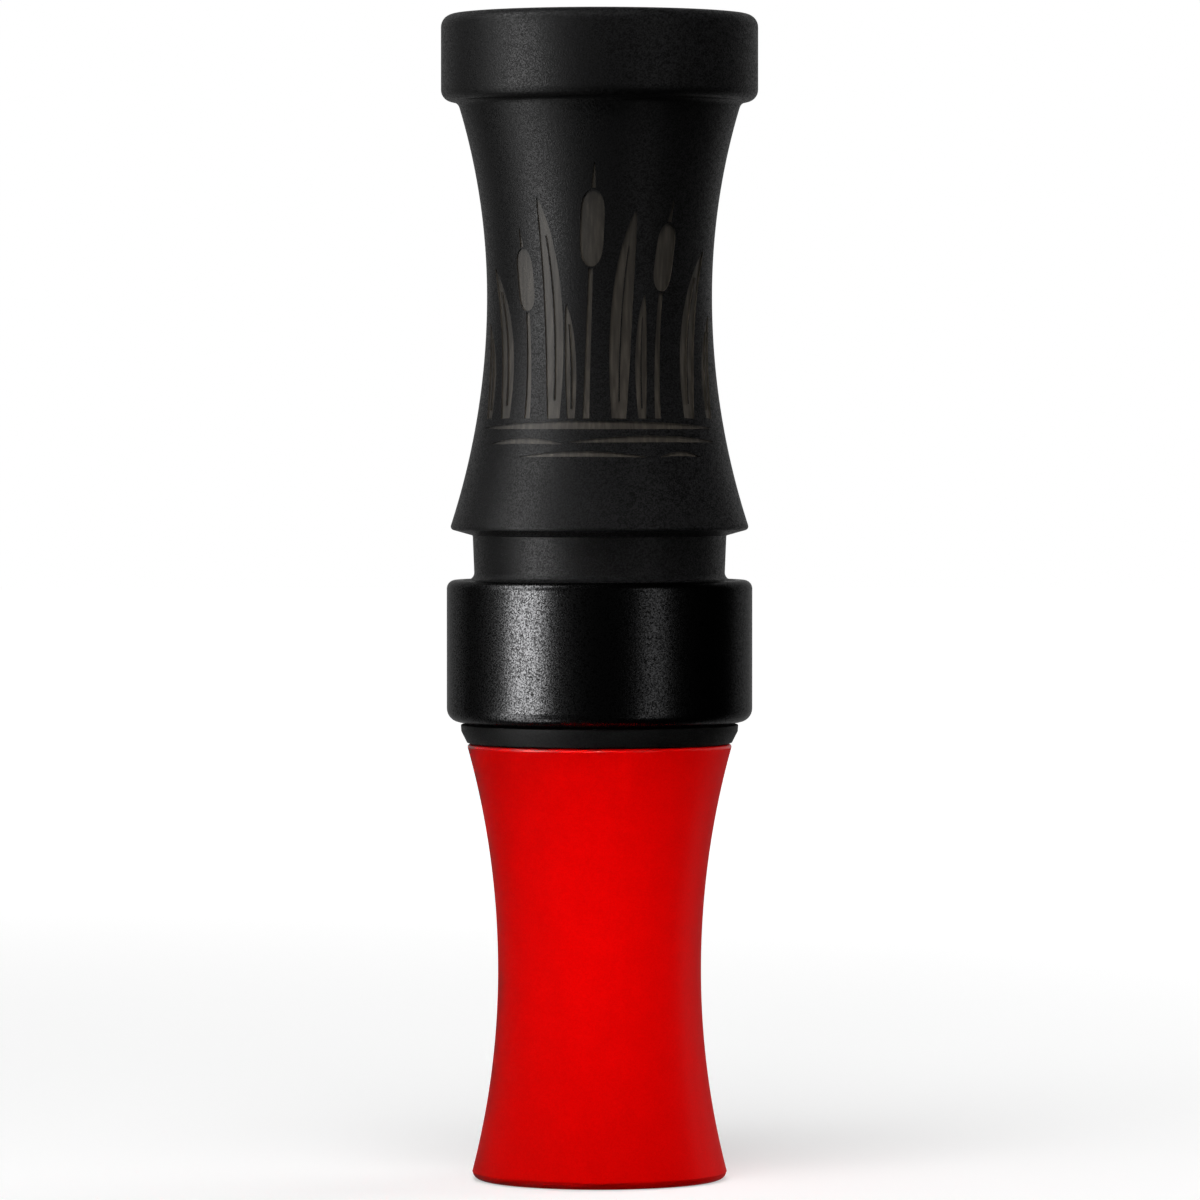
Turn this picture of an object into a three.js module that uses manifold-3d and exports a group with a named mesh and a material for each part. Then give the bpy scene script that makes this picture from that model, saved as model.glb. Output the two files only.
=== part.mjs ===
// A double-reed duck call, standing upright on the end of its exhaust bell.
// Millimetres, +Z up. The origin is the centre of the bell's end face, on the call's axis.
//
// The insert is the stopper, with the bell pressed on below it and the tone board pressed into it. A wedge
// holds two reeds down on the tone board's face. The barrel, with its band, slides over the stopper's tenon
// on two O-rings.
import * as THREE from 'three';
import { mergeVertices } from 'three/addons/utils/BufferGeometryUtils.js';
import Module from 'manifold-3d';

const wasm = await Module();
wasm.setup();

// ---- Driving dimensions -------------------------------------------------------------------------

const HEIGHT = 127; // of the whole call, 5 inches
const SIDES = 40; // flats around each turned piece
const PRESS_GAP = 0.15; // between pieces that are pressed together
const EDGE = 0.3; // small rounding on hidden turned edges
const LARGE_ROUND = 0.6; // roundings above this get more points

// Barrel: mouthpiece rim, waist, skirt, lanyard groove and the seat under the band, from the top down.
const RIM = { r: 17.28, foot: 117.48, round: 1.4, lip: 13.2 };
const NECK = { r: 15.28, cove: 0.6 };
const BARREL_WAIST = { r: 12.27, z: 96.3 };
const SKIRT = { r: 16.35, z: 70.95, round: 0.45 };
const GROOVE = { topR: 13.84, top: 70.25, footR: 13.64, foot: 65.4, round: 0.7 };
const SEAT = { r: 14.75, foot: 49.95 };
const BORE = { r: 8.2, flareFoot: 119, flareR: 12.3, flareTop: 126.3 };
const SOCKET = { r: 8.95, top: 73, step: 0.7, leadIn: 0.5 };

// Band pressed over the barrel's lower end.
const BAND = { r: 16.67, foot: 49.9, top: GROOVE.foot, topRound: 1.0, footRound: 1.55 };

// Stopper: collar, tenon with two O-ring grooves above it, spigot below it.
const COLLAR = { foot: 47.65, footR: 14.46, top: 49.65, topR: 15.15, bulge: 0.09 };
const TENON = { r: 8.7, top: 70, round: 0.6 };
const TONE_SOCKET = { r: 6.2, foot: 50 };
const SPIGOT = { r: 9.0, foot: 36.2 };
const EXHAUST_R = 4.2;

// O-rings in the tenon's grooves.
const O_RING = { section: 0.8, r: 8.02, lowZ: 55.2, highZ: 60.6 };
const O_GROOVE = { floorR: 7.1, width: 1.95 };

// Bell, from the collar down to the open end that the call stands on.
const BELL_TOP = { r: 14.5, z: COLLAR.foot - PRESS_GAP };
const BELL_WAIST = { r: 11.09, z: 22.8 };
const BELL_END = { r: 14.12, round: 0.85 };
const BELL_BORE = { r: 4.6, flareTop: 24, mouthR: 9.8, mouthZ: 0.8, round: 0.6 };

// Tone board: a round rod cut away to a face that curves back towards its tip, with a sound channel along it.
const BOARD = { r: TONE_SOCKET.r - PRESS_GAP, foot: TONE_SOCKET.foot + PRESS_GAP, tip: 98.5 };
const NOSE = { r: 4.4, length: 3, bulge: 0.4, bulgeAt: 0.6 };
const FACE_Y = -0.3; // the face's flat part, where the reeds are held
const FACE_CURVE = 0.0012; // how fast the face falls away past the wedge, per millimetre
const CHANNEL = { halfWidth: 2.7, tip: 93, tipDepth: 1.6, footDepth: 4.4 };

// Reeds and the wedge over them. The wedge's front end is where the reeds start to bend.
const WEDGE = { foot: 61.5, front: 71.5 };
const REED = { halfWidth: 5.5, thickness: 0.25, foot: 62.5, corner: 1.2, gap: 0.12 };
const LOWER_REED_TIP = 96.3;
const UPPER_REED_TIP = 95.0;
const WEDGE_GAP = 0.32; // room for the reeds' tails to tip a little as their free ends close

// ---- Materials ----------------------------------------------------------------------------------

function material(color, roughness, metalness = 0) {
  return new THREE.MeshStandardMaterial({ color, roughness, metalness });
}

const barrelBlack = material(0x1b1b1c, 0.55);
const bandBlack = material(0x151517, 0.38, 0.6);
const stopperBlack = material(0x1a1a1a, 0.5);
const bellRed = material(0xd60000, 0.42);
const boardIvory = material(0xe6dfcb, 0.5);
const reedFilm = material(0xdfe3e2, 0.25);
const wedgeCork = material(0xb98a58, 0.9);
const ringRubber = material(0x0f0f0f, 0.7);

// ---- Section outlines ---------------------------------------------------------------------------

// Points on the circle that stands upright at `waist` and passes through `end`, listed from one to the other.
function flare(waist, end, steps) {
  const rise = end.z - waist.z;
  const widening = end.r - waist.r;
  const radius = (rise * rise + widening * widening) / (2 * widening);
  return Array.from({ length: steps + 1 }, (_, i) => {
    const dz = (rise * i) / steps;
    return [waist.r + radius - Math.sqrt(radius * radius - dz * dz), waist.z + dz];
  });
}

// Replaces each corner [r, z, radius] by an arc tangent to both its sides, and keeps plain [r, z] points.
function rounded(corners) {
  const at = (i) => new THREE.Vector2(...corners[(i + corners.length) % corners.length].slice(0, 2));
  return corners.flatMap(([r, z, radius], i) => {
    const corner = new THREE.Vector2(r, z);
    if (!radius) return [corner];
    const back = at(i - 1).sub(corner).normalize();
    const ahead = at(i + 1).sub(corner).normalize();
    const half = Math.acos(back.dot(ahead)) / 2;
    const reach = radius / Math.tan(half);
    const centre = back.clone().add(ahead).normalize().multiplyScalar(radius / Math.sin(half)).add(corner);
    const from = back.multiplyScalar(reach).add(corner).sub(centre).angle();
    const to = ahead.multiplyScalar(reach).add(corner).sub(centre).angle();
    const turn = THREE.MathUtils.euclideanModulo(to - from + Math.PI, 2 * Math.PI) - Math.PI;
    const steps = radius > LARGE_ROUND ? 5 : 3;
    return Array.from({ length: steps + 1 }, (_, k) => {
      const angle = from + (turn * k) / steps;
      return new THREE.Vector2(centre.x + radius * Math.cos(angle), centre.y + radius * Math.sin(angle));
    });
  });
}

// ---- Making meshes ------------------------------------------------------------------------------

function named(name, geometry, look) {
  const mesh = new THREE.Mesh(geometry, look);
  mesh.name = name;
  return mesh;
}

// Turns a closed outline of [r, z] corners about the call's axis.
function turnedGeometry(corners) {
  const outline = rounded(corners);
  return new THREE.LatheGeometry([...outline, outline[0].clone()], SIDES).rotateX(Math.PI / 2);
}

// An outline in X and Z, as a plate from y = front (the reed side) to y = back.
function plateGeometry(outline, front, back) {
  const shape = new THREE.Shape(outline.map(([x, z]) => new THREE.Vector2(x, z)));
  return new THREE.ExtrudeGeometry(shape, { depth: back - front, bevelEnabled: false })
    .rotateX(Math.PI / 2)
    .translate(0, back, 0);
}

// An outline in Y and Z, as a bar of the given half width, centred on the call's axis.
function barGeometry(outline, halfWidth) {
  const shape = new THREE.Shape(outline.map(([y, z]) => new THREE.Vector2(y, z)));
  return new THREE.ExtrudeGeometry(shape, { depth: 2 * halfWidth, bevelEnabled: false })
    .applyMatrix4(new THREE.Matrix4().set(0, 0, 1, -halfWidth, 1, 0, 0, 0, 0, 1, 0, 0, 0, 0, 0, 1));
}

function solidOf(geometry) {
  const bare = new THREE.BufferGeometry();
  bare.setAttribute('position', geometry.getAttribute('position').clone());
  if (geometry.index) bare.setIndex(geometry.index.clone());
  const merged = mergeVertices(bare, 1e-4);
  return new wasm.Manifold(new wasm.Mesh({
    numProp: 3,
    vertProperties: merged.getAttribute('position').array,
    triVerts: new Uint32Array(merged.index.array),
  }));
}

function geometryOf(solid) {
  const cut = solid.getMesh();
  return new THREE.BufferGeometry()
    .setAttribute('position', new THREE.BufferAttribute(cut.vertProperties, cut.numProp))
    .setIndex(new THREE.BufferAttribute(cut.triVerts, 1));
}

// ---- Turned pieces ------------------------------------------------------------------------------

function barrel() {
  const lowerFlare = flare(BARREL_WAIST, SKIRT, 9).slice(1, -1).reverse();
  const upperFlare = flare(BARREL_WAIST, { r: NECK.r, z: RIM.foot - NECK.cove }, 7);
  const mouth = flare({ r: BORE.r, z: BORE.flareFoot }, { r: BORE.flareR, z: BORE.flareTop }, 5).reverse();
  return named('barrel', turnedGeometry([
    [SEAT.r, SEAT.foot, EDGE],
    [SEAT.r, GROOVE.foot],
    [GROOVE.footR, GROOVE.foot, GROOVE.round],
    [GROOVE.topR, GROOVE.top],
    [SKIRT.r, SKIRT.z, SKIRT.round],
    ...lowerFlare,
    ...upperFlare,
    [NECK.r + NECK.cove, RIM.foot],
    [RIM.r, RIM.foot, RIM.round],
    [RIM.r, HEIGHT, RIM.round],
    [RIM.lip, HEIGHT],
    ...mouth,
    [BORE.r, SOCKET.top + SOCKET.step],
    [SOCKET.r, SOCKET.top],
    [SOCKET.r, SEAT.foot + SOCKET.leadIn],
    [SOCKET.r + SOCKET.leadIn, SEAT.foot],
  ]), barrelBlack);
}

function band() {
  const innerR = SEAT.r + PRESS_GAP;
  return named('barrel_band', turnedGeometry([
    [innerR, BAND.foot],
    [BAND.r, BAND.foot, BAND.footRound],
    [BAND.r, BAND.top, BAND.topRound],
    [innerR, BAND.top],
  ]), bandBlack);
}

function oRingGroove(z) {
  const half = O_GROOVE.width / 2;
  return [[TENON.r, z - half], [O_GROOVE.floorR, z - half], [O_GROOVE.floorR, z + half], [TENON.r, z + half]];
}

function stopper() {
  const collarMiddle = [
    (COLLAR.footR + COLLAR.topR) / 2 + COLLAR.bulge,
    (COLLAR.foot + COLLAR.top) / 2,
  ];
  return named('insert_stopper', turnedGeometry([
    [SPIGOT.r, SPIGOT.foot, EDGE],
    [SPIGOT.r, COLLAR.foot],
    [COLLAR.footR, COLLAR.foot],
    collarMiddle,
    [COLLAR.topR, COLLAR.top],
    [TENON.r, COLLAR.top],
    ...oRingGroove(O_RING.lowZ),
    ...oRingGroove(O_RING.highZ),
    [TENON.r, TENON.top, TENON.round],
    [TONE_SOCKET.r, TENON.top],
    [TONE_SOCKET.r, TONE_SOCKET.foot],
    [EXHAUST_R, TONE_SOCKET.foot],
    [EXHAUST_R, SPIGOT.foot],
  ]), stopperBlack);
}

function bell() {
  const socketR = SPIGOT.r + PRESS_GAP;
  const socketFloor = SPIGOT.foot - PRESS_GAP;
  const outside = flare(BELL_WAIST, { r: BELL_END.r, z: 0 }, 8).slice(0, -1).reverse();
  const inside = flare({ r: BELL_BORE.r, z: BELL_BORE.flareTop }, { r: BELL_BORE.mouthR, z: BELL_BORE.mouthZ }, 7);
  return named('exhaust_bell', turnedGeometry([
    [BELL_BORE.mouthR + BELL_BORE.round, 0],
    [BELL_END.r, 0, BELL_END.round],
    ...outside,
    ...flare(BELL_WAIST, BELL_TOP, 9).slice(1),
    [socketR, BELL_TOP.z],
    [socketR, socketFloor],
    [BELL_BORE.r, socketFloor],
    ...inside,
  ]), bellRed);
}

function oRing(name, z) {
  const steps = 10;
  const section = Array.from({ length: steps }, (_, i) => {
    const angle = (2 * Math.PI * i) / steps;
    return [O_RING.r + O_RING.section * Math.cos(angle), z + O_RING.section * Math.sin(angle)];
  });
  return named(name, turnedGeometry(section), ringRubber);
}

// ---- Tone board, reeds and wedge ----------------------------------------------------------------

// Distance that the tone board's face has fallen back at a height z.
function faceFall(z) {
  const past = Math.max(0, z - WEDGE.front);
  return FACE_CURVE * past * past;
}

function toneBoard() {
  const shoulder = BOARD.tip - NOSE.length;
  const rod = new THREE.LatheGeometry([
    new THREE.Vector2(0, BOARD.foot),
    new THREE.Vector2(BOARD.r, BOARD.foot),
    new THREE.Vector2(BOARD.r, shoulder),
    new THREE.Vector2((BOARD.r + NOSE.r) / 2 + NOSE.bulge, shoulder + NOSE.length * NOSE.bulgeAt),
    new THREE.Vector2(NOSE.r, BOARD.tip),
    new THREE.Vector2(0, BOARD.tip),
  ], SIDES).rotateX(Math.PI / 2);

  const outsideY = -2 * BOARD.r;
  const faceSteps = 8;
  const face = Array.from({ length: faceSteps + 1 }, (_, i) => {
    const z = WEDGE.front + ((BOARD.tip + 1 - WEDGE.front) * i) / faceSteps;
    return [FACE_Y + faceFall(z), z];
  });
  const frontHalf = barGeometry([
    [outsideY, BOARD.foot - 1],
    [FACE_Y, BOARD.foot - 1],
    ...face,
    [outsideY, BOARD.tip + 1],
  ], 2 * BOARD.r);

  const channel = barGeometry([
    [outsideY, BOARD.foot - 1],
    [FACE_Y + CHANNEL.footDepth, BOARD.foot - 1],
    [FACE_Y + CHANNEL.footDepth, TENON.top],
    [FACE_Y + faceFall(CHANNEL.tip) + CHANNEL.tipDepth, CHANNEL.tip],
    [outsideY, CHANNEL.tip],
  ], CHANNEL.halfWidth);

  const board = solidOf(rod).subtract(solidOf(frontHalf)).subtract(solidOf(channel));
  return named('tone_board', geometryOf(board), boardIvory);
}

// A flat reed whose back lies at y = back, with its free corners cut off.
function reed(name, tip, back) {
  const w = REED.halfWidth;
  const c = REED.corner;
  const outline = [[-w, REED.foot], [w, REED.foot], [w, tip - c], [w - c, tip], [c - w, tip], [-w, tip - c]];
  return named(name, plateGeometry(outline, back - REED.thickness, back), reedFilm);
}

// The wedge fills the tone socket's round space in front of the reeds, so its section is a circle cut by a chord.
function wedge(chordY) {
  const cornerAngle = Math.asin(-chordY / BOARD.r);
  const steps = 14;
  const section = Array.from({ length: steps + 1 }, (_, i) => {
    const angle = Math.PI + cornerAngle + ((Math.PI - 2 * cornerAngle) * i) / steps;
    return new THREE.Vector2(BOARD.r * Math.cos(angle), BOARD.r * Math.sin(angle));
  });
  const geometry = new THREE.ExtrudeGeometry(new THREE.Shape(section), {
    depth: WEDGE.front - WEDGE.foot,
    bevelEnabled: false,
  });
  return named('reed_wedge', geometry.translate(0, 0, WEDGE.foot), wedgeCork);
}

// ---- Assembly -----------------------------------------------------------------------------------

const lowerReedBack = FACE_Y - REED.gap;
const upperReedBack = lowerReedBack - REED.thickness - REED.gap;
const wedgeChordY = upperReedBack - REED.thickness - WEDGE_GAP;

const duckCall = new THREE.Group();
duckCall.add(
  barrel(),
  band(),
  stopper(),
  bell(),
  oRing('o_ring_lower', O_RING.lowZ),
  oRing('o_ring_upper', O_RING.highZ),
  toneBoard(),
  reed('lower_reed', LOWER_REED_TIP, lowerReedBack),
  reed('upper_reed', UPPER_REED_TIP, upperReedBack),
  wedge(wedgeChordY),
);

export default duckCall;
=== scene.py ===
import math

import bmesh
import bpy
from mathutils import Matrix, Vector
from mathutils.geometry import delaunay_2d_cdt


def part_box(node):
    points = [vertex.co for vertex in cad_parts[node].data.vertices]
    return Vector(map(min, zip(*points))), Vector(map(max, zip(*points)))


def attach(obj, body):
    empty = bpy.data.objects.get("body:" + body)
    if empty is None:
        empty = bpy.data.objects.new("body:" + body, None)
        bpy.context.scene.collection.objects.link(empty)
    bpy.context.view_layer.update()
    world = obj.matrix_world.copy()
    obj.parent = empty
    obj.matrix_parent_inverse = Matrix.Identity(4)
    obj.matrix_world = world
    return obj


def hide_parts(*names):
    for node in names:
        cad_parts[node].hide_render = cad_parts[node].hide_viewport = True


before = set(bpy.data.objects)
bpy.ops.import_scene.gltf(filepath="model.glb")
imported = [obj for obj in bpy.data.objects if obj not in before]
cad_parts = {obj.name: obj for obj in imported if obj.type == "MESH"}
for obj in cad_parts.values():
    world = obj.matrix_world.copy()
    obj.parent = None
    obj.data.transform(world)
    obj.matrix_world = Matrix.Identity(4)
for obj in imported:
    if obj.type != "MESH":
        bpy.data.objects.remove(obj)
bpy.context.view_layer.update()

MM = 0.001
SIDES = 192  # flats around each turned piece
ROUND_STEPS = 8  # along each rounded corner
FLARE_STEPS = 28  # along the barrel's and the bell's long curves
SAME_POINT = 0.0005  # millimetres: points this close become one
SHARP_ANGLE = math.radians(32)  # edges that turn by more than this are shaded sharp


def cad_size(node):
    """Radius, foot and top of a round CAD node, in millimetres."""
    low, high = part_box(node)
    return high.x / MM, low.z / MM, high.z / MM


# ---- Sizes ----------------------------------------------------------------------------------------
# In millimetres, where nothing else is said. A pair is a (radius, height).

RIM_R, SEAT_FOOT, TOP = cad_size("barrel")
BAND_R, BAND_FOOT, BAND_TOP = cad_size("barrel_band")
COLLAR_R, SPIGOT_FOOT, TENON_TOP = cad_size("insert_stopper")
BOARD_R, BOARD_FOOT, BOARD_TIP = cad_size("tone_board")
BELL_TOP = cad_size("exhaust_bell")[2]
PRESS_GAP = 0.15  # between pieces that are pressed together

# Barrel: rim, neck, waist, skirt, lanyard groove and the seat under the band, then its inside.
RIM_HEIGHT = 9.52
RIM_ROUND = 1.4
RIM_FOOT = TOP - RIM_HEIGHT
NECK = (15.46, RIM_FOOT)
NECK_COVE = 1.2  # height of the rounded corner under the rim
WAIST = (12.27, 96.3)
SKIRT = (16.35, 70.95)
GROOVE_TOP = (13.84, 70.25)
GROOVE_R = 13.64
SEAT_R = 14.75
SOCKET = (8.95, 73.0)
SOCKET_STEP = 0.7  # height of the slope between socket and bore
SOCKET_LEAD_IN = 0.5
BORE_R = 8.2
MOUTH_FOOT = 119.0
MOUTH = (12.5, 126.5)
MOUTH_CHAMFER = 0.7

# Bell, pressed on the stopper's spigot.
BELL_WAIST = (11.09, 22.8)
BELL_NECK_R = 14.5
BELL_END_R = 14.12
BELL_BORE_R = 4.6
BELL_FLARE_TOP = 24.0
BELL_MOUTH = (9.8, 0.8)
BELL_MOUTH_CHAMFER = 0.5
BELL_LIP = 0.5  # height of the polished edge at the bell's top

# Stopper: spigot, collar, and the tenon with its O-ring grooves.
SPIGOT_R = 9.0
COLLAR = {"foot": 47.65, "foot_r": 14.46, "top": 49.65}
COLLAR_BULGE = (0.06, 0.75)  # where its side bends, in and down from its top edge
TENON_R = 8.7
TONE_SOCKET = (6.2, 50.0)
EXHAUST_R = 4.2
RING_GROOVE = {"r": 7.1, "half": 0.975, "round": 0.18}
RING_SECTION = 0.8
RINGS = ("o_ring_lower", "o_ring_upper")

# Tone board, reeds and wedge.
FACE_Y = -0.3  # of the tone board's flat part
BEND_Z = 71.5  # front end of the wedge, where the face starts to fall away
FACE_CURVE = 0.0012  # how fast it falls away, per millimetre
CHANNEL = {"half": 2.7, "foot_depth": 4.4, "tip_depth": 1.6, "tip": 93.0}
CHANNEL_END = 4.0  # length that the channel runs out over at its tip
CHANNEL_BACK = 0.8  # least thickness of the board behind the channel
CHANNEL_POWER = 0.4  # power of a cosine or sine that squares up the channel's round section
CHANNEL_EDGE = 0.001  # share of the depth that the channel has at its very edge
NOSE = {"length": 3.0, "r": 4.4}
NOSE_FOOT = BOARD_TIP - NOSE["length"]
REED_CLIP = 1.2  # of the corners at a reed's tip
DIMPLE = {"r": 1.1, "height": 0.09, "z": BEND_Z + 4.0}  # in the upper reed
WEDGE_EASING = 0.25


# ---- Outlines -------------------------------------------------------------------------------------


def flare_circle(waist, end):
    """Radius of the circle that stands upright at the waist and passes through the end."""
    rise, widening = end[1] - waist[1], end[0] - waist[0]
    return (rise**2 + widening**2) / (2 * widening)


def flare(waist, end, steps=FLARE_STEPS):
    """Points from the waist to the end, along the circle that flare_circle() gives."""
    radius = flare_circle(waist, end)
    points = []
    for i in range(steps + 1):
        dz = (end[1] - waist[1]) * i / steps
        points.append((waist[0] + radius - math.sqrt(radius**2 - dz**2), waist[1] + dz))
    return points


def flare_radius(waist, end, z):
    """Radius at a height z of the curve that flare() follows."""
    radius = flare_circle(waist, end)
    return waist[0] + radius - math.sqrt(radius**2 - (z - waist[1]) ** 2)


def rounded(corners):
    """Replaces each (r, z, rounding) corner of a closed outline by an arc tangent to its two sides."""
    points = []
    for i, corner in enumerate(corners):
        at = Vector(corner[:2])
        if len(corner) == 2:
            points.append(at)
            continue
        back = (Vector(corners[i - 1][:2]) - at).normalized()
        ahead = (Vector(corners[(i + 1) % len(corners)][:2]) - at).normalized()
        rounding = corner[2]
        half = back.angle(ahead) / 2
        reach = rounding / math.tan(half)
        centre = at + (back + ahead).normalized() * (rounding / math.sin(half))
        start = at + back * reach - centre
        end = at + ahead * reach - centre
        first = math.atan2(start.y, start.x)
        turn = math.atan2(start.x * end.y - start.y * end.x, start.dot(end))
        for k in range(ROUND_STEPS + 1):
            angle = first + turn * k / ROUND_STEPS
            points.append(centre + rounding * Vector((math.cos(angle), math.sin(angle))))
    return points


def arc(radius, start, sweep, steps):
    """Points (x, y) along a circle round the axis."""
    angles = [start + sweep * k / steps for k in range(steps + 1)]
    return [(radius * math.cos(angle), radius * math.sin(angle)) for angle in angles]


def around(radius, angle, z):
    """A point in metres. The angle is 0 at the front of the call, and grows towards its right side."""
    return Vector((radius * math.sin(angle), -radius * math.cos(angle), z)) * MM


# ---- Mesh making ----------------------------------------------------------------------------------


def make_object(name, bm, materials):
    """Turns a closed bmesh into a smooth-shaded object, with its faces pointing out."""
    bmesh.ops.remove_doubles(bm, verts=bm.verts, dist=SAME_POINT * MM)
    bmesh.ops.recalc_face_normals(bm, faces=bm.faces)
    mesh = bpy.data.meshes.new(name)
    bm.to_mesh(mesh)
    bm.free()
    mesh.shade_smooth()
    mesh.set_sharp_from_angle(angle=SHARP_ANGLE)
    for material in materials:
        mesh.materials.append(material)
    obj = bpy.data.objects.new(name, mesh)
    bpy.context.scene.collection.objects.link(obj)
    return obj


def join_rings(bm, ring, above):
    """Adds a wall of quads between two closed rings that have as many vertices."""
    for k in range(len(ring)):
        n = (k + 1) % len(ring)
        bm.faces.new((ring[k], ring[n], above[n], above[k]))


def add_turned(bm, outline, leave_open=None):
    """Adds a closed outline turned about the axis. leave_open is the first point of a side left out."""
    rings = []
    for radius, z in outline:
        rings.append([bm.verts.new(around(radius, 2 * math.pi * k / SIDES, z)) for k in range(SIDES)])
    for i, ring in enumerate(rings):
        if i != leave_open:
            join_rings(bm, ring, rings[(i + 1) % len(rings)])


def add_rod(bm, sections, heights):
    """Adds a rod through sections of (x, y) points, one at each height, with flat ends."""
    rings = []
    for section, z in zip(sections, heights):
        rings.append([bm.verts.new(Vector((x, y, z)) * MM) for x, y in section])
    for ring, above in zip(rings, rings[1:]):
        join_rings(bm, ring, above)
    bm.faces.new(rings[0][::-1])
    bm.faces.new(rings[-1])


def turned(name, corners, material):
    """An object of one material, turned from an outline's corners."""
    bm = bmesh.new()
    add_turned(bm, rounded(corners))
    return make_object(name, bm, [material])


def finish_piece(obj, body, nodes):
    """Puts a piece on its CAD body, in place of its CAD nodes."""
    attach(obj, body)
    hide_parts(*nodes)


# ---- Materials ------------------------------------------------------------------------------------
# The scale of a noise or of cells is the number of them in a metre.

GRAIN_CELLS = 8000  # of the fine grain that the black pieces and the bell have
GRAIN_BUMPS = 6000  # of the bumps on the black pieces


def set_input(material, name, value):
    """Gives a shader input a value that is the same all over the surface."""
    material.node_tree.nodes["Principled BSDF"].inputs[name].default_value = value


def link_input(material, name, value):
    """Gives a shader input a value that comes from another node."""
    shader = material.node_tree.nodes["Principled BSDF"]
    material.node_tree.links.new(value, shader.inputs[name])


def new_material(name, colour, roughness, specular=0.5):
    material = bpy.data.materials.new(name)
    material.use_nodes = True
    set_input(material, "Base Color", (*colour, 1))
    set_input(material, "Roughness", roughness)
    set_input(material, "Specular IOR Level", specular)
    return material


def object_noise(material, scale, detail=2.0, stretch=(1, 1, 1)):
    """A noise over the piece. A stretch below 1 draws it out along its axis."""
    tree = material.node_tree
    place = tree.nodes.new("ShaderNodeTexCoord")
    mapping = tree.nodes.new("ShaderNodeMapping")
    mapping.inputs["Scale"].default_value = stretch
    noise = tree.nodes.new("ShaderNodeTexNoise")
    noise.inputs["Scale"].default_value = scale
    noise.inputs["Detail"].default_value = detail
    tree.links.new(place.outputs["Object"], mapping.inputs["Vector"])
    tree.links.new(mapping.outputs["Vector"], noise.inputs["Vector"])
    return noise.outputs["Fac"]


def object_cells(material, scale, output):
    """Cells over the piece: a random Color in each of them, or the Distance from its middle."""
    tree = material.node_tree
    place = tree.nodes.new("ShaderNodeTexCoord")
    cells = tree.nodes.new("ShaderNodeTexVoronoi")
    cells.inputs["Scale"].default_value = scale
    tree.links.new(place.outputs["Object"], cells.inputs["Vector"])
    return cells.outputs[output]


def mix_values(material, first, second, share):
    """A blend of two values, with the given share of the second one."""
    tree = material.node_tree
    node = tree.nodes.new("ShaderNodeMix")
    node.inputs["Factor"].default_value = share
    tree.links.new(first, node.inputs["A"])
    tree.links.new(second, node.inputs["B"])
    return node.outputs["Result"]


def spread(material, value, low, high, source=(0.3, 0.7)):
    """Maps the source range of a value, by default a noise's usual one, to the range low to high."""
    tree = material.node_tree
    node = tree.nodes.new("ShaderNodeMapRange")
    node.inputs["From Min"].default_value = source[0]
    node.inputs["From Max"].default_value = source[1]
    node.inputs["To Min"].default_value = low
    node.inputs["To Max"].default_value = high
    tree.links.new(value, node.inputs["Value"])
    return node.outputs["Result"]


def blend_colours(material, value, stops):
    """Maps a value to a colour, by stops of (position, colour)."""
    tree = material.node_tree
    ramp = tree.nodes.new("ShaderNodeValToRGB")
    ramp.color_ramp.elements.remove(ramp.color_ramp.elements[1])
    for i, (position, colour) in enumerate(stops):
        element = ramp.color_ramp.elements[0] if i == 0 else ramp.color_ramp.elements.new(position)
        element.position = position
        element.color = (*colour, 1)
    tree.links.new(value, ramp.inputs["Fac"])
    return ramp.outputs["Color"]


def add_bump(material, height, distance, under=None):
    """Bumps the surface by distance millimetres, over an earlier bump if one is given."""
    tree = material.node_tree
    bump = tree.nodes.new("ShaderNodeBump")
    bump.inputs["Strength"].default_value = 1.0
    bump.inputs["Distance"].default_value = distance * MM
    tree.links.new(height, bump.inputs["Height"])
    if under is not None:
        tree.links.new(under, bump.inputs["Normal"])
    link_input(material, "Normal", bump.outputs["Normal"])
    return bump.outputs["Normal"]


def grained_black(name, dark, light, roughness, specular, depth, metallic=0.0):
    """Black with a fine blasted grain: its cells differ in tone and gloss, and are bumped by depth."""
    material = new_material(name, dark, roughness[0], specular)
    set_input(material, "Metallic", metallic)
    grain = object_cells(material, scale=GRAIN_CELLS, output="Color")
    link_input(material, "Base Color", blend_colours(material, grain, [(0.22, dark), (0.78, light)]))
    link_input(material, "Roughness", spread(material, grain, *roughness))
    add_bump(material, object_noise(material, scale=GRAIN_BUMPS, detail=1), distance=depth)
    return material


def barrel_black():
    return grained_black(
        "barrel_black",
        dark=(0.0003, 0.0003, 0.0003),
        light=(0.0125, 0.0125, 0.013),
        roughness=(0.58, 0.34),
        specular=0.22,
        depth=0.026,
    )


def band_black():
    """Black anodised aluminium, blasted with fine beads. Its tint dims what it reflects at a slant."""
    material = grained_black(
        "band_black",
        dark=(0.010, 0.010, 0.010),
        light=(0.083, 0.083, 0.085),
        roughness=(0.31, 0.24),
        specular=0.5,
        depth=0.010,
        metallic=1.0,
    )
    set_input(material, "Specular Tint", (0.6, 0.6, 0.6, 1))
    return material


def stopper_black():
    return grained_black(
        "stopper_black",
        dark=(0.0008, 0.0008, 0.0008),
        light=(0.006, 0.006, 0.006),
        roughness=(0.58, 0.46),
        specular=0.14,
        depth=0.008,
    )


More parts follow.
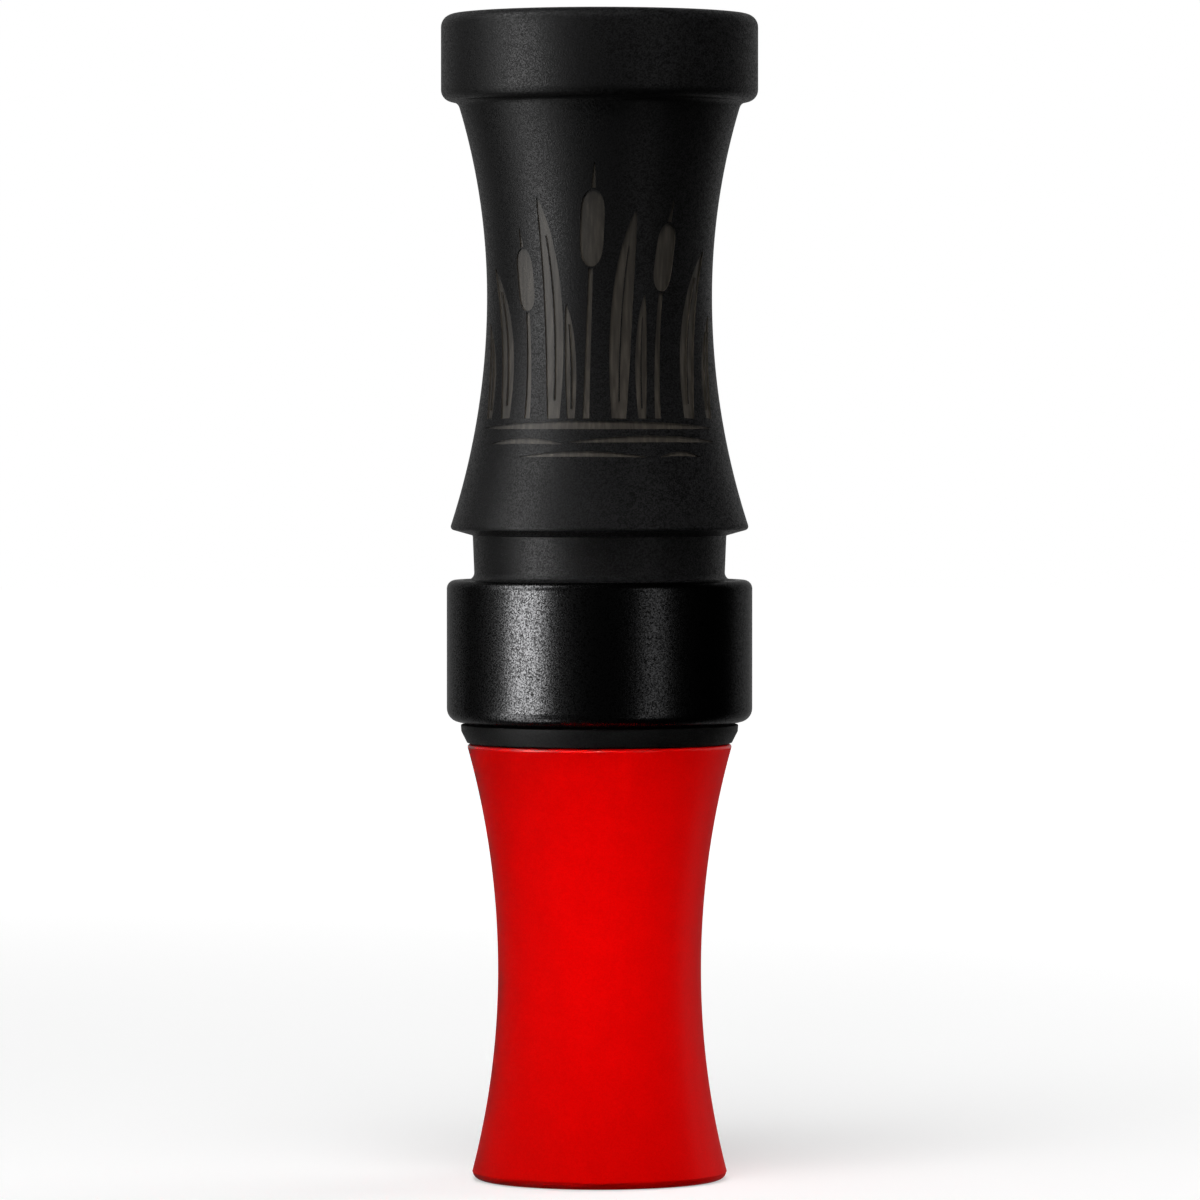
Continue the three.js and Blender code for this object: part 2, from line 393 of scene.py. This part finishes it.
def etched_black():
    """The laser-etched floor of the motif: paler and warmer, with fine streaks along the barrel."""
    material = new_material("barrel_etched", colour=(0.030, 0.026, 0.021), roughness=0.55, specular=0.42)
    streaks = object_noise(material, scale=2600, detail=4, stretch=(1, 1, 0.08))
    stops = [(0.25, (0.022, 0.019, 0.0153)), (0.5, (0.041, 0.0355, 0.0285)), (0.75, (0.073, 0.063, 0.051))]
    link_input(material, "Base Color", blend_colours(material, streaks, stops))
    grain = add_bump(material, object_noise(material, scale=3800, detail=1), distance=0.014)
    add_bump(material, streaks, distance=0.012, under=grain)
    return material


def red_plastic(name, roughness, specular, tint):
    """Red plastic, coloured through, with a soft mottle and a very fine grain."""
    material = new_material(name, (0.74, 0.0, 0.0), roughness[0], specular)
    set_input(material, "Specular Tint", (*tint, 1))
    mottle = object_noise(material, scale=420, detail=4)
    grain = object_cells(material, scale=GRAIN_CELLS, output="Color")
    mixed = mix_values(material, mottle, grain, share=0.5)
    stops = [(0.3, (0.69, 0.0005, 0.0004)), (0.7, (0.77, 0.0008, 0.0007))]
    link_input(material, "Base Color", blend_colours(material, mixed, stops))
    link_input(material, "Roughness", spread(material, mottle, *roughness))
    add_bump(material, object_noise(material, scale=4200, detail=1), distance=0.004)
    return material


def bell_red():
    """The bell's satin surface."""
    return red_plastic("bell_red", roughness=(0.44, 0.52), specular=0.02, tint=(1.0, 0.05, 0.04))


def bell_lip_red():
    """The same plastic where the bell's top edge was polished."""
    return red_plastic("bell_red_lip", roughness=(0.20, 0.26), specular=0.42, tint=(1.0, 0.85, 0.8))


def ring_rubber():
    """Black rubber with an uneven film of grease."""
    material = new_material("ring_rubber", colour=(0.008, 0.008, 0.008), roughness=0.4)
    film = object_noise(material, scale=900, detail=3)
    stops = [(0.3, (0.006, 0.006, 0.006)), (0.8, (0.02, 0.02, 0.021))]
    link_input(material, "Roughness", spread(material, film, low=0.28, high=0.6))
    link_input(material, "Base Color", blend_colours(material, film, stops))
    add_bump(material, object_noise(material, scale=3000), distance=0.006)
    return material


def board_ivory():
    """Moulded ivory plastic with the lengthwise scratches of a sanded face."""
    material = new_material("board_ivory", colour=(0.79, 0.73, 0.58), roughness=0.5)
    scratches = object_noise(material, scale=2400, detail=3, stretch=(1, 1, 0.04))
    stops = [(0.3, (0.70, 0.64, 0.49)), (0.7, (0.83, 0.78, 0.64))]
    link_input(material, "Base Color", blend_colours(material, scratches, stops))
    link_input(material, "Roughness", spread(material, scratches, low=0.38, high=0.62))
    add_bump(material, scratches, distance=0.008)
    return material


def reed_film():
    """Translucent frosted polyester film, brushed along its length."""
    material = new_material("reed_film", colour=(0.80, 0.83, 0.82), roughness=0.3)
    set_input(material, "Transmission Weight", 0.55)
    set_input(material, "IOR", 1.58)
    brushed = object_noise(material, scale=1800, stretch=(1, 1, 0.05))
    stops = [(0.3, (0.74, 0.78, 0.78)), (0.7, (0.86, 0.88, 0.87))]
    link_input(material, "Roughness", spread(material, brushed, low=0.24, high=0.42))
    link_input(material, "Base Color", blend_colours(material, brushed, stops))
    add_bump(material, brushed, distance=0.002)
    return material


def wedge_cork():
    """Cork: warm grains of uneven size with dark pores between them."""
    material = new_material("wedge_cork", colour=(0.46, 0.26, 0.12), roughness=0.85, specular=0.3)
    grains = object_cells(material, scale=900, output="Distance")
    stops = [(0.0, (0.56, 0.34, 0.17)), (0.45, (0.44, 0.25, 0.115)), (0.8, (0.16, 0.075, 0.03))]
    link_input(material, "Base Color", blend_colours(material, grains, stops))
    add_bump(material, spread(material, grains, low=1, high=0, source=(0.1, 0.9)), distance=0.12)
    return material


# ---- Etched motif ---------------------------------------------------------------------------------
# A stand of cattails over rippling water. Places are (across, height) in millimetres on the unrolled
# barrel. The plants stand on the waterline, and their heights are above it.

MOTIF_R = 12.8  # radius of the roll that the motif is drawn on
ETCH_DEPTH = 0.16
WATERLINE = 83.0
PATCH = (77.0, 112.6)  # stretch of the barrel that holds the motif
PATCH_ROWS = 40
STRIP_STEPS = 26  # along each outline

CATTAILS = (  # foot, height, lean, length of the head, half its width
    (-1.4, 27.5, 0.9, 8.6, 1.3),
    (-8.0, 20.5, -1.7, 7.0, 1.15),
    (6.3, 23.5, 2.2, 7.6, 1.2),
)
LEAVES = (  # foot, height, lean, droop, half width
    (-4.9, 24.5, -0.6, -1.5, 1.45),
    (2.0, 23.0, 0.7, 1.3, 1.6),
    (-11.1, 17.5, -1.1, -2.6, 1.4),
    (10.4, 19.5, 1.2, 2.8, 1.55),
    (-3.0, 12.5, -0.3, -0.5, 0.8),
    (4.5, 13.5, 0.2, 0.5, 0.85),
    (-14.1, 11.0, -0.9, -1.5, 1.1),
    (13.9, 12.0, 0.9, 1.6, 1.15),
)
RIPPLES = (  # middle, height on the barrel, half length, half thickness
    (-0.4, 82.3, 14.4, 0.42),
    (5.4, 80.8, 8.6, 0.34),
    (-8.2, 80.6, 4.4, 0.3),
    (-1.8, 79.2, 6.6, 0.28),
    (8.6, 79.2, 2.4, 0.22),
)

# Half widths at the foot, and what they lose on the way up.
STEM = (0.34, 0.08)
SPIKE = (0.24, 0.18)
MIDRIB = (0.075, 0.04)

# Shares of the whole plant's height.
SPIKE_LENGTH = 0.1
HEAD_GAP = 0.006  # left plain at each end of a head
MIDRIB_FOOT = 0.08
MIDRIB_LENGTH = 0.74

LEAF_FOOT = 0.45  # share of a leaf's half width that it has at its foot
LEAF_SWELL = 1.6
LEAF_CLOSING = 0.75
LEAF_TIP = 0.03  # half width that is left at a leaf's tip
BLUNT_END = 0.02  # half width that is left at the ends of a head or ripple
RIPPLE_BOW = 0.35
RIPPLE_CLOSING = 0.8


def strip(line, width):
    """An anticlockwise outline along line(t), with the half width width(t), for t from 0 to 1."""
    nudge = 0.01  # both ways along the line, to find its direction
    left, right = [], []
    for i in range(STRIP_STEPS + 1):
        t = (1 - math.cos(math.pi * i / STRIP_STEPS)) / 2
        here = Vector(line(t))
        ahead = (Vector(line(t + nudge)) - Vector(line(t - nudge))).normalized()
        side = Vector((-ahead.y, ahead.x)) * width(t)
        left.append(here + side)
        right.append(here - side)
    return right + left[::-1]


def taper(start, loss):
    """A half width that shrinks evenly from start."""
    return lambda t: start - loss * t


def leaf(foot, height, lean, droop, half_width):
    """A blade that leans and bends over as it rises, widest just below its middle, and its midrib."""
    def line(t):
        return foot + lean * t + droop * t**3, WATERLINE + height * t - abs(droop) * 0.5 * t**3

    def width(t):
        return half_width * (LEAF_FOOT + LEAF_SWELL * t) * (1 - t) ** LEAF_CLOSING + LEAF_TIP

    return strip(line, width), strip(lambda t: line(MIDRIB_FOOT + MIDRIB_LENGTH * t), taper(*MIDRIB))


def cattail(foot, height, lean, head, half_width):
    """A stem, the long head it carries, and the spike above the head."""
    def line(t):
        return foot + lean * t**1.5 if t > 0 else foot, WATERLINE + height * t

    def head_width(t):
        return half_width * max(0.0, 1 - abs(2 * t - 1) ** 4) ** 0.5 + BLUNT_END

    head_share = head / height
    stem_top = 1 - head_share - SPIKE_LENGTH
    stem = strip(lambda t: line(t * stem_top), taper(*STEM))
    knob = strip(lambda t: line(stem_top + (head_share - 2 * HEAD_GAP) * t + HEAD_GAP), head_width)
    spike = strip(lambda t: line(1 - SPIKE_LENGTH + SPIKE_LENGTH * t), taper(*SPIKE))
    return [stem, knob, spike]


def ripple(middle, height, half_length, half_thickness):
    """A long thin lens, slightly bowed."""
    def line(t):
        return middle + half_length * (2 * t - 1), height - RIPPLE_BOW * (2 * t - 1) ** 2

    def width(t):
        return half_thickness * (1 - (2 * t - 1) ** 2) ** RIPPLE_CLOSING + BLUNT_END

    return strip(line, width)


def motif():
    """The outlines that are etched, and the midribs that stay raised inside them."""
    leaves = [leaf(*measures) for measures in LEAVES]
    etched = []
    for measures in CATTAILS:
        etched += cattail(*measures)
    etched += [blade for blade, _ in leaves]
    etched += [ripple(*measures) for measures in RIPPLES]
    return etched, [midrib for _, midrib in leaves]


# ---- Barrel ---------------------------------------------------------------------------------------


def barrel_radius(z):
    """Outside radius of the barrel's waist, between the skirt and the neck."""
    return flare_radius(WAIST, SKIRT if z < WAIST[1] else NECK, z)


def add_etched_patch(bm):
    """Adds the waist of the barrel, with the motif sunk into it, between the heights in PATCH. Sources
    are the shapes that a triangle lies in. It is sunk if they are all etched ones, which come first."""
    low, high = PATCH
    rows = [low + (high - low) * i / PATCH_ROWS for i in range(PATCH_ROWS + 1)]
    half_turn = math.pi * MOTIF_R
    points = [Vector((half_turn * (2 * k / SIDES - 1), z)) for z in rows for k in range(SIDES + 1)]
    last = PATCH_ROWS * (SIDES + 1)
    edges = [(k, k + 1) for k in range(SIDES)] + [(last + k, last + k + 1) for k in range(SIDES)]
    faces = []
    etched, midribs = motif()
    for shape in etched + midribs:
        faces.append(list(range(len(points), len(points) + len(shape))))
        points += [Vector(p) for p in shape]
    all_triangles, closeness = 0, 1e-6
    flat, _, triangles, _, _, sources = delaunay_2d_cdt(points, edges, faces, all_triangles, closeness)

    def corner(index, depth):
        across, z = flat[index]
        return bm.verts.new(around(barrel_radius(z) - depth, across / MOTIF_R, z))

    surface, etched_floor, owners = {}, {}, {}
    for triangle, source in zip(triangles, sources):
        sunk = bool(source) and max(source) < len(etched)
        level, depth = (etched_floor, ETCH_DEPTH) if sunk else (surface, 0)
        for index in triangle:
            if index not in level:
                level[index] = corner(index, depth)
        face = bm.faces.new([level[index] for index in triangle])
        face.material_index = 1 if sunk else 0
        for a, b in zip(triangle, triangle[1:] + triangle[:1]):
            owners.setdefault(frozenset((a, b)), []).append(sunk)
    for edge, sides in owners.items():
        if len(sides) == 2 and sides[0] != sides[1]:
            a, b = edge
            wall = bm.faces.new((surface[a], surface[b], etched_floor[b], etched_floor[a]))
            wall.material_index = 1


def barrel():
    """The outline runs up the outside from the seat, over the rim, and down through the bore."""
    low, high = PATCH
    below = [p for p in flare(WAIST, SKIRT) if p[1] < low][::-1]
    above = [p for p in flare(WAIST, NECK) if high < p[1] < RIM_FOOT - NECK_COVE]
    mouth = flare((BORE_R, MOUTH_FOOT), MOUTH, steps=12)[::-1]
    corners = [
        (SEAT_R, SEAT_FOOT, 0.3),
        (SEAT_R, BAND_TOP),
        (GROOVE_R, BAND_TOP, 0.8),
        (*GROOVE_TOP, 0.12),
        (*SKIRT, 0.42),
        *below[1:],
        (barrel_radius(low), low),
        (barrel_radius(high), high),
        *above,
        (*NECK, 0.9),
        (RIM_R, RIM_FOOT, 1.3),
        (RIM_R, TOP, RIM_ROUND),
        (MOUTH[0] + MOUTH_CHAMFER, TOP, 0.5),
        *mouth,
        (BORE_R, SOCKET[1] + SOCKET_STEP, 0.2),
        SOCKET,
        (SOCKET[0], SEAT_FOOT + SOCKET_LEAD_IN),
        (SOCKET[0] + SOCKET_LEAD_IN, SEAT_FOOT),
    ]
    outline = rounded(corners)
    patch_side = next(i for i, p in enumerate(outline) if abs(p.y - low) < SAME_POINT)
    bm = bmesh.new()
    add_turned(bm, outline, leave_open=patch_side)
    add_etched_patch(bm)
    piece = make_object("barrel_shell", bm, [barrel_black(), etched_black()])
    finish_piece(piece, "barrel", ["barrel"])


def band():
    """The ring that is pressed over the barrel's lower end."""
    inner = SEAT_R + PRESS_GAP
    piece = turned("band", [
        (inner, BAND_FOOT, 0.1),
        (BAND_R, BAND_FOOT, 1.5),
        (BAND_R, BAND_TOP, 0.95),
        (inner, BAND_TOP, 0.08),
    ], band_black())
    finish_piece(piece, "barrel", ["barrel_band"])


# ---- Insert ---------------------------------------------------------------------------------------


def ring_heights():
    """Height of the middle of each O-ring."""
    return [sum(c.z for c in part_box(n)) / 2 / MM for n in RINGS]


def stopper():
    """The outline runs up the outside from the spigot, and down through the exhaust bore."""
    grooves = []
    for z in ring_heights():
        below, above = z - RING_GROOVE["half"], z + RING_GROOVE["half"]
        grooves += [
            (TENON_R, below, 0.12),
            (RING_GROOVE["r"], below, RING_GROOVE["round"]),
            (RING_GROOVE["r"], above, RING_GROOVE["round"]),
            (TENON_R, above, 0.12),
        ]
    piece = turned("stopper", [
        (SPIGOT_R, SPIGOT_FOOT, 0.3),
        (SPIGOT_R, COLLAR["foot"], 0.1),
        (COLLAR["foot_r"], COLLAR["foot"], 0.06),
        (COLLAR_R - COLLAR_BULGE[0], COLLAR["top"] - COLLAR_BULGE[1]),
        (COLLAR_R, COLLAR["top"], 0.14),
        (TENON_R, COLLAR["top"], 0.2),
        *grooves,
        (TENON_R, TENON_TOP, 0.6),
        (TONE_SOCKET[0], TENON_TOP, 0.15),
        TONE_SOCKET,
        (EXHAUST_R, TONE_SOCKET[1], 0.2),
        (EXHAUST_R, SPIGOT_FOOT, 0.2),
    ], stopper_black())
    finish_piece(piece, "insert", ["insert_stopper"])


def bell():
    """The outline runs up the outside from the end, and down through the socket and the flared bore."""
    socket_r = SPIGOT_R + PRESS_GAP
    socket_foot = SPIGOT_FOOT - PRESS_GAP
    below_waist = flare(BELL_WAIST, (BELL_END_R, 0))[1:-1][::-1]
    above_waist = flare(BELL_WAIST, (BELL_NECK_R, BELL_TOP))[:-1]
    inside = flare((BELL_BORE_R, BELL_FLARE_TOP), BELL_MOUTH)
    piece = turned("bell", [
        (BELL_MOUTH[0] + BELL_MOUTH_CHAMFER, 0, 0.35),
        (BELL_END_R, 0, 0.85),
        *below_waist,
        *above_waist,
        (BELL_NECK_R, BELL_TOP, 0.3),
        (socket_r, BELL_TOP, 0.1),
        (socket_r, socket_foot),
        (BELL_BORE_R, socket_foot, 0.2),
        *inside,
    ], bell_red())
    piece.data.materials.append(bell_lip_red())
    for face in piece.data.polygons:
        if face.center.z > (BELL_TOP - BELL_LIP) * MM:
            face.material_index = 1
    finish_piece(piece, "insert", ["exhaust_bell"])


def o_rings():
    """The two rings that seal the tenon in the barrel's socket."""
    steps = 24
    material = ring_rubber()
    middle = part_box("o_ring_lower")[1].x / MM - RING_SECTION
    turns = [2 * math.pi * k / steps for k in range(steps)]
    for node, z in zip(RINGS, ring_heights()):
        section = [(middle + RING_SECTION * math.cos(a), z + RING_SECTION * math.sin(a)) for a in turns]
        finish_piece(turned(node + "_soft", section, material), "seals", [node])


def face_fall(z):
    """How far the tone board's face has curved back at a height."""
    return FACE_CURVE * max(0.0, z - BEND_Z) ** 2


def channel_depth(z):
    """Depth of the sound channel below the face: it shrinks along the board, and runs out at its tip."""
    if z >= CHANNEL["tip"]:
        return 0.0
    along = max(0.0, (z - TENON_TOP) / (CHANNEL["tip"] - TENON_TOP))
    depth = CHANNEL["foot_depth"] + (CHANNEL["tip_depth"] - CHANNEL["foot_depth"]) * along
    left = min(1.0, (CHANNEL["tip"] - z) / CHANNEL_END)
    return depth * math.sqrt(1 - (1 - left) ** 2)


def board_section(z):
    """The tone board's section at a height: the round back, the flat face, and the channel in the face."""
    back_steps, channel_steps = 32, 12
    into_nose = max(0.0, (z - NOSE_FOOT) / NOSE["length"])
    radius = BOARD_R - (BOARD_R - NOSE["r"]) * (1 - math.sqrt(max(0.0, 1 - into_nose**2)))
    face = FACE_Y + face_fall(z)
    depth = min(channel_depth(z), radius - face - CHANNEL_BACK)
    start = math.asin(face / radius)
    back = arc(radius, start, math.pi - 2 * start, back_steps)
    half = CHANNEL["half"]
    channel = [(-half, face)]
    for k in range(channel_steps + 1):
        angle = math.pi - math.pi * k / channel_steps
        across = half * math.copysign(abs(math.cos(angle)) ** CHANNEL_POWER, math.cos(angle))
        down = max(CHANNEL_EDGE, math.sin(angle) ** CHANNEL_POWER)
        channel.append((across, face + depth * down))
    channel.append((half, face))
    return back + channel


def tone_board():
    """The rod that the reeds beat against."""
    shank_steps, nose_steps = 48, 10
    heights = [BOARD_FOOT, TENON_TOP - 0.1]  # the shank is even up to the tenon's top
    for k in range(shank_steps + 1):
        heights.append(TENON_TOP + (NOSE_FOOT - TENON_TOP) * k / shank_steps)
    for k in range(1, nose_steps + 1):
        heights.append(NOSE_FOOT + NOSE["length"] * math.sin(math.pi / 2 * k / nose_steps))
    bm = bmesh.new()
    add_rod(bm, [board_section(z) for z in heights], heights)
    piece = make_object("tone_board_rod", bm, [board_ivory()])
    finish_piece(piece, "insert", ["tone_board"])


def grid_rim(grid):
    """The vertices around the edge of a grid of them, in order."""
    right_side = [row[-1] for row in grid[1:]]
    left_side = [row[0] for row in grid[-2:0:-1]]
    return grid[0] + right_side + grid[-1][-2::-1] + left_side


def reed(node, material, dimpled):
    """A thin film with clipped corners. A dimple keeps the upper reed off the lower one."""
    low, high = (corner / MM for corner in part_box(node))
    across_steps, along_steps = 44, 130
    columns = [low.x + (high.x - low.x) * k / across_steps for k in range(across_steps + 1)]
    rows = [low.z + (high.z - low.z) * k / along_steps for k in range(along_steps + 1)]

    def rise(x, z):
        away = math.hypot(x, z - DIMPLE["z"])
        if not dimpled or away >= DIMPLE["r"]:
            return 0.0
        return DIMPLE["height"] * 0.5 * (1 + math.cos(math.pi * away / DIMPLE["r"]))

    def clipped(x, z):
        limit = high.x - max(0.0, REED_CLIP - (high.z - z))
        return max(-limit, min(limit, x))

    bm = bmesh.new()
    rims = []
    for y in (low.y, high.y):
        grid = []
        for z in rows:
            places = [Vector((clipped(x, z), y + rise(x, z), z)) for x in columns]
            grid.append([bm.verts.new(place * MM) for place in places])
        for lower_row, upper_row in zip(grid, grid[1:]):
            for k in range(across_steps):
                bm.faces.new((lower_row[k], lower_row[k + 1], upper_row[k + 1], upper_row[k]))
        rims.append(grid_rim(grid))
    join_rings(bm, *rims)
    piece = make_object(node + "_film", bm, [material])
    finish_piece(piece, node, [node])


def wedge():
    """The cork: a circle cut by a chord, with its edges eased."""
    low, high = (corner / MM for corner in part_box("reed_wedge"))
    chord_angle = math.asin(-high.y / BOARD_R)
    section = arc(BOARD_R, math.pi + chord_angle, math.pi - 2 * chord_angle, steps=40)
    bm = bmesh.new()
    add_rod(bm, [section, section], (low.z, high.z))
    piece = make_object("reed_cork", bm, [wedge_cork()])
    bevel = piece.modifiers.new("eased", "BEVEL")
    bevel.width = WEDGE_EASING * MM
    bevel.segments = 3
    bevel.limit_method = "ANGLE"
    bevel.angle_limit = math.radians(35)
    finish_piece(piece, "wedge", ["reed_wedge"])


# ---- Studio ---------------------------------------------------------------------------------------
# The camera's places are in millimetres. The distances and sizes of lights and floor are in metres.

CAMERA_DISTANCE = 851.0
EYE_Z = 82.6
AIM = (0.05, 0, 63.2)
VIEW_WIDTH = 130.9  # of what the camera sees at the call's axis
FLOOR_R = 3.0
FLOOR_GAP = 0.00005  # under the call
FLOOR_GLOW = (0.45, 1.0)  # near the call, and far from it
GLOW_REACH = (0.03, 0.7)  # distances that the glow grows between
TENT_LIGHT = (0.004, 0.42)  # its strength in front of the call, and behind it
TENT_EDGE = (0.42, 0.8)  # where it grows, as the y of a direction: 1 is straight to the back
LEFT_ARC = (  # azimuth, elevation, power
    (-57, 0, 2.7),
    (-69, 25, 1.3),
    (-69, -25, 1.3),
    (-79, 50, 1.9),
    (-79, -50, 0.9),
)


def camera():
    """Straight in front of the call, looking slightly down."""
    data = bpy.data.cameras.new("camera")
    data.sensor_width = 36
    data.lens = data.sensor_width * CAMERA_DISTANCE / VIEW_WIDTH
    data.clip_start = 0.01
    obj = bpy.data.objects.new("camera", data)
    obj.location = Vector((0, -CAMERA_DISTANCE, EYE_Z)) * MM
    obj.rotation_euler = (Vector(AIM) * MM - obj.location).to_track_quat("-Z", "Y").to_euler()
    bpy.context.scene.collection.objects.link(obj)
    bpy.context.scene.camera = obj


def softbox(name, azimuth, elevation, distance, size, power, gloss=False, aim_z=TOP / 2, beam=180):
    """An area light that faces the axis at the height aim_z, in millimetres. Azimuth is 0 at the front
    and grows towards the right side. gloss says whether it makes highlights or, as a fill, only soft
    light. beam is the angle a grid on the softbox leaves open."""
    data = bpy.data.lights.new(name, "AREA")
    data.shape = "RECTANGLE"
    data.size, data.size_y = size
    data.energy = power
    data.spread = math.radians(beam)
    obj = bpy.data.objects.new(name, data)
    aim = Vector((0, 0, aim_z * MM))
    turn, lift = math.radians(azimuth), math.radians(elevation)
    away = Vector((math.sin(turn) * math.cos(lift), -math.cos(turn) * math.cos(lift), math.sin(lift)))
    obj.location = aim + away * distance
    obj.rotation_euler = (-away).to_track_quat("-Z", "Y").to_euler()
    obj.visible_camera = False
    obj.visible_glossy = gloss
    obj.visible_diffuse = not gloss
    bpy.context.scene.collection.objects.link(obj)


def lights():
    """Highlights from an arc of softboxes on the left and a tall one on the right, and four fills.
    Each has its azimuth, elevation and distance first."""
    for i, (azimuth, elevation, power) in enumerate(LEFT_ARC):
        softbox(f"left_strip_{i}", azimuth, elevation, 0.72, size=(0.34, 0.32), power=power, gloss=True)
    softbox("right_strip", 41, -2, 0.80, size=(0.23, 1.3), power=0.62, gloss=True)
    softbox("barrel_fill", -12, 57, 0.30, size=(0.20, 0.20), power=1.22, aim_z=122)
    softbox("bell_fill", -8, 0, 0.45, size=(0.26, 0.065), power=0.045, aim_z=36, beam=10)
    softbox("left_fill", -112, 10, 0.70, size=(0.50, 0.60), power=0.85)
    softbox("right_fill", 118, 10, 0.70, size=(0.50, 0.60), power=3.2)


def surroundings():
    """White all round for the camera. For the call, bright behind and dark in front, as in a light tent."""
    world = bpy.data.worlds.new("studio")
    bpy.context.scene.world = world
    world.use_nodes = True
    tree = world.node_tree
    tree.nodes.clear()
    place = tree.nodes.new("ShaderNodeTexCoord")
    split = tree.nodes.new("ShaderNodeSeparateXYZ")
    behind = tree.nodes.new("ShaderNodeMapRange")
    behind.interpolation_type = "SMOOTHSTEP"
    behind.inputs["From Min"].default_value = TENT_EDGE[0]
    behind.inputs["From Max"].default_value = TENT_EDGE[1]
    behind.inputs["To Min"].default_value = TENT_LIGHT[0]
    behind.inputs["To Max"].default_value = TENT_LIGHT[1]
    tent = tree.nodes.new("ShaderNodeBackground")
    backdrop = tree.nodes.new("ShaderNodeBackground")
    backdrop.inputs["Color"].default_value = (1, 1, 1, 1)
    path = tree.nodes.new("ShaderNodeLightPath")
    choose = tree.nodes.new("ShaderNodeMixShader")
    out = tree.nodes.new("ShaderNodeOutputWorld")
    tree.links.new(place.outputs["Generated"], split.inputs["Vector"])
    tree.links.new(split.outputs["Y"], behind.inputs["Value"])
    tree.links.new(behind.outputs["Result"], tent.inputs["Strength"])
    tree.links.new(path.outputs["Is Camera Ray"], choose.inputs["Fac"])
    tree.links.new(tent.outputs["Background"], choose.inputs[1])
    tree.links.new(backdrop.outputs["Background"], choose.inputs[2])
    tree.links.new(choose.outputs["Shader"], out.inputs["Surface"])


def floor():
    """A pale floor that takes a soft shadow, and stays out of the call's reflections. It glows more
    further out, where it has to melt into the white around it."""
    bm = bmesh.new()
    bmesh.ops.create_circle(bm, cap_ends=True, segments=96, radius=FLOOR_R)
    mesh = bpy.data.meshes.new("floor")
    bm.to_mesh(mesh)
    bm.free()
    material = new_material("floor_pale", colour=(0.6, 0.6, 0.6), roughness=0.9, specular=0.1)
    set_input(material, "Emission Color", (1, 1, 1, 1))
    tree = material.node_tree
    place = tree.nodes.new("ShaderNodeTexCoord")
    distance = tree.nodes.new("ShaderNodeVectorMath")
    distance.operation = "LENGTH"
    tree.links.new(place.outputs["Object"], distance.inputs[0])
    glow = spread(material, distance.outputs["Value"], *FLOOR_GLOW, source=GLOW_REACH)
    link_input(material, "Emission Strength", glow)
    mesh.materials.append(material)
    obj = bpy.data.objects.new("floor", mesh)
    obj.location.z = -FLOOR_GAP
    obj.visible_glossy = False
    obj.visible_diffuse = False
    obj.visible_shadow = False
    bpy.context.scene.collection.objects.link(obj)


# ---- Assembly -------------------------------------------------------------------------------------

camera()
film = reed_film()
barrel()
band()
stopper()
bell()
o_rings()
tone_board()
reed("lower_reed", film, dimpled=False)
reed("upper_reed", film, dimpled=True)
wedge()
bpy.context.scene.view_settings.view_transform = "Standard"
lights()
surroundings()
floor()
